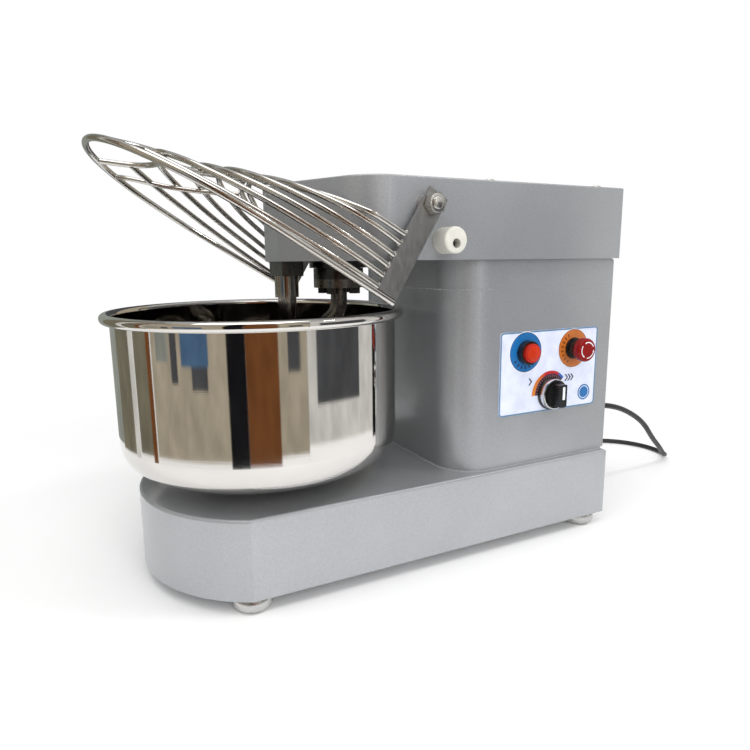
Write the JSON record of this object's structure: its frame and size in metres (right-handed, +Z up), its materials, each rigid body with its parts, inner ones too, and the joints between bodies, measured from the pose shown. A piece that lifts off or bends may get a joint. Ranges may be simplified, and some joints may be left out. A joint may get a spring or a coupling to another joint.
{
  "type": "commercial stand mixer",
  "caption": "Bench-top spiral dough mixer with a driven steel bowl, a hooked spiral arm, a hinged wire guard and side controls.",
  "frame": {"origin": "on the floor at the centre of the mixer's footprint, leaving out the free mains lead", "axes": "+Z up, +Y from the bowl towards the rear cover, +X towards the control panel"},
  "size_m": [0.28, 0.7613, 0.391],
  "materials": {
    "paint": "fine metallic grey coating",
    "foot": "bright cap",
    "polished_steel": "mirror polished stainless steel",
    "satin_steel": "satin",
    "bearing_steel": "ground",
    "cast_iron": "oiled",
    "pulley_aluminium": "turned",
    "belt_rubber": "matte",
    "motor_paint": "satin",
    "nylon": "satin",
    "panel": "semi gloss",
    "black_plastic": "semi gloss",
    "red_plastic": "gloss",
    "cord_rubber": "satin"
  },
  "bodies": {
    "frame": {"base_housing": "paint", "base_bottom_plate": "paint", "foot_front_right": "foot", "foot_front_left": "foot", "foot_rear_right": "foot", "foot_rear_left": "foot", "column_shell": "paint", "rear_cover": "paint", "head_shell": "paint", "head_lid": "paint", "head_screws": "satin_steel", "bowl_bearing_housing": "cast_iron", "bowl_bearings": "bearing_steel", "hook_bearing_housing": "cast_iron", "hook_bearings": "bearing_steel", "countershaft_bearings": "cast_iron", "motor_belt": "belt_rubber", "hook_belt": "belt_rubber", "bowl_belt": "belt_rubber", "motor_bracket": "satin_steel", "motor_body": "motor_paint", "breaker_block": "satin_steel", "breaker_bar": "polished_steel", "guard_pivot_bolts": "satin_steel", "guard_bumpers": "nylon", "guard_limit_switch": "black_plastic", "control_panel": "panel", "power_switch_body": "black_plastic", "emergency_stop_body": "black_plastic", "speed_potentiometer": "black_plastic", "speed_controller": "black_plastic", "strain_relief": "cord_rubber", "power_cord": "cord_rubber", "cord_coil": "cord_rubber", "plug": "cord_rubber"},
    "guard": {"guard_plate_right": "satin_steel", "guard_plate_left": "satin_steel", "guard_outer_ring": "polished_steel", "guard_wire_2": "polished_steel", "guard_wire_3": "polished_steel", "guard_wire_4": "polished_steel", "guard_wire_5": "polished_steel", "guard_wire_6": "polished_steel", "guard_wire_7": "polished_steel", "guard_feed_frame": "polished_steel"},
    "bowl": {"bowl_shell": "polished_steel", "bowl_hub": "satin_steel", "bowl_pulley": "pulley_aluminium"},
    "hook": {"hook_spindle": "satin_steel", "spiral_hook": "polished_steel", "hook_flange_bolts": "cast_iron", "hook_pulley": "pulley_aluminium"},
    "countershaft": {"countershaft": "satin_steel", "countershaft_step_pulley": "pulley_aluminium"},
    "motor_rotor": {"motor_shaft": "satin_steel", "motor_pulley": "pulley_aluminium"},
    "power_button": {"power_button": "red_plastic"},
    "emergency_stop_plunger": {"emergency_stop_plunger": "black_plastic"},
    "emergency_stop_cap": {"emergency_stop_cap": "red_plastic"},
    "speed_knob": {"speed_knob": "black_plastic"}
  },
  "joints": [
    {"name": "guard_hinge", "type": "hinge", "parent": "frame", "child": "guard", "pos_m": [0, 0.011, 0.337], "axis": [1, 0, 0], "range_deg": [-58, 24.2]},
    {"name": "bowl_spin", "type": "hinge", "parent": "frame", "child": "bowl", "pos_m": [0, -0.106, 0.1], "axis": [0, 0, 1], "continuous": true},
    {"name": "hook_spin", "type": "hinge", "parent": "frame", "child": "hook", "pos_m": [0, -0.021, 0.1], "axis": [0, 0, 1], "continuous": true},
    {"name": "countershaft_spin", "type": "hinge", "parent": "frame", "child": "countershaft", "pos_m": [0, 0.094, 0.1], "axis": [0, 0, 1], "continuous": true},
    {"name": "motor_spin", "type": "hinge", "parent": "frame", "child": "motor_rotor", "pos_m": [0, 0.189, 0.1], "axis": [0, 0, 1], "continuous": true},
    {"name": "power_button_press", "type": "slide", "parent": "frame", "child": "power_button", "axis": [-1, 0, 0], "range_m": [0, 0.003], "stiffness_N_per_m": 600, "springref_m": -0.001},
    {"name": "emergency_stop_press", "type": "slide", "parent": "frame", "child": "emergency_stop_plunger", "axis": [-1, 0, 0], "range_m": [0, 0.004]},
    {"name": "emergency_stop_twist", "type": "hinge", "parent": "emergency_stop_plunger", "child": "emergency_stop_cap", "pos_m": [0.125, 0.194, 0.2], "axis": [-1, 0, 0], "range_deg": [0, 40], "stiffness_Nm_per_rad": 0.01},
    {"name": "speed_dial", "type": "hinge", "parent": "frame", "child": "speed_knob", "pos_m": [0.12, 0.1655, 0.1555], "axis": [-1, 0, 0], "range_deg": [-135, 135]}
  ],
  "couplings": [
    {"joint": "countershaft_spin", "follows": "bowl_spin", "ratio": 8},
    {"joint": "hook_spin", "follows": "bowl_spin", "ratio": 5.3333},
    {"joint": "motor_spin", "follows": "bowl_spin", "ratio": 40}
  ]
}
